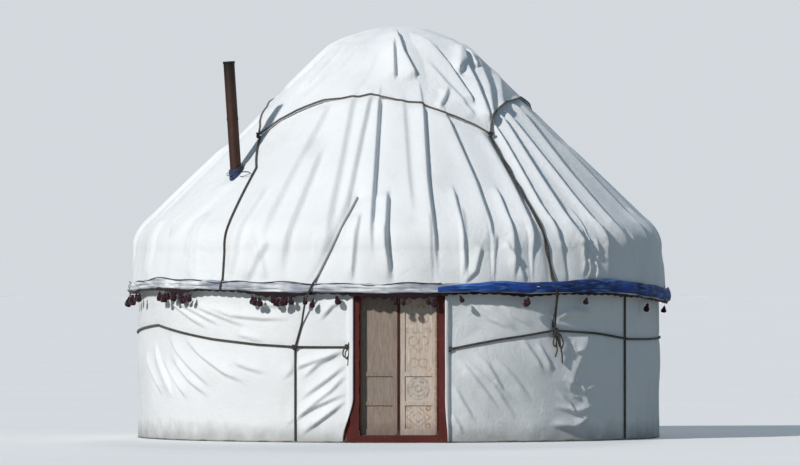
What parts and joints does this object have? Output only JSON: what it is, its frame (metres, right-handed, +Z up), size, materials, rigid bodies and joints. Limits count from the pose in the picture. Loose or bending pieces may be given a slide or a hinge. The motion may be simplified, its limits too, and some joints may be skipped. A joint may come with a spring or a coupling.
{
  "type": "yurt",
  "caption": "Round felt-and-canvas yurt: lattice wall, bent roof poles, domed wooden crown, rope-tied covers, carved double door and a stove pipe through the roof.",
  "frame": {"origin": "on the ground at the centre of the round plan", "axes": "+Z up, -Y out through the door, +X to the right of someone who faces the door"},
  "size_m": [5.6206, 5.6206, 4.2694],
  "materials": {
    "canvas": "matt white canvas",
    "hem_cloth": "blue hem band",
    "band_cloth": "maroon wool band",
    "rope": "twisted hair rope",
    "frame_wood": "worn red paint",
    "leaf_wood": "worn orange-brown paint",
    "panel_wood": "faded painted boards",
    "lattice_wood": "ochre-red willow",
    "pole_wood": "ochre-red willow",
    "crown_wood": "ochre-red wood",
    "pipe_steel": "sooty rusted sheet",
    "cuff_cloth": "blue-grey wound cloth"
  },
  "bodies": {
    "house": {"door_threshold": "frame_wood", "door_lintel": "frame_wood", "door_post_left": "frame_wood", "door_post_right": "frame_wood", "lattice_right_front": "lattice_wood", "lattice_right_rear": "lattice_wood", "lattice_back": "lattice_wood", "lattice_left_rear": "lattice_wood", "lattice_left_front": "lattice_wood", "roof_poles_front": "pole_wood", "roof_poles_right": "pole_wood", "roof_poles_back": "pole_wood", "roof_poles_left": "pole_wood", "crown_ring": "crown_wood", "crown_crossbars": "crown_wood", "wall_cover_right_front": "canvas", "wall_cover_right_rear": "canvas", "wall_cover_back": "canvas", "wall_cover_left_rear": "canvas", "wall_cover_left_front": "canvas", "roof_cover_front": "canvas", "roof_cover_right_front": "canvas", "roof_cover_right_rear": "canvas", "roof_cover_back": "canvas", "roof_cover_left_rear": "canvas", "roof_cover_left_front": "canvas", "crown_cover": "canvas", "eave_hem": "hem_cloth", "tassel_band": "band_cloth", "crown_tie_right_front": "rope", "crown_tie_left_front": "rope", "crown_tie_right_rear": "rope", "crown_tie_left_rear": "rope", "roof_tie_front": "rope", "roof_tie_rear": "rope", "wall_tie_right": "rope", "belt_rope": "rope", "stove_pipe": "pipe_steel", "pipe_collar": "cuff_cloth"},
    "leaf_left": {"door_leaf_left": "leaf_wood", "door_panels_left": "panel_wood"},
    "leaf_right": {"door_leaf_right": "leaf_wood", "door_panels_right": "panel_wood"}
  },
  "joints": [
    {"name": "left_leaf_hinge", "type": "hinge", "parent": "house", "child": "leaf_left", "pos_m": [-0.377, -2.59, 0.8], "axis": [0, 0, 1], "range_deg": [0, 100]},
    {"name": "right_leaf_hinge", "type": "hinge", "parent": "house", "child": "leaf_right", "pos_m": [0.377, -2.59, 0.8], "axis": [0, 0, -1], "range_deg": [0, 100]}
  ]
}
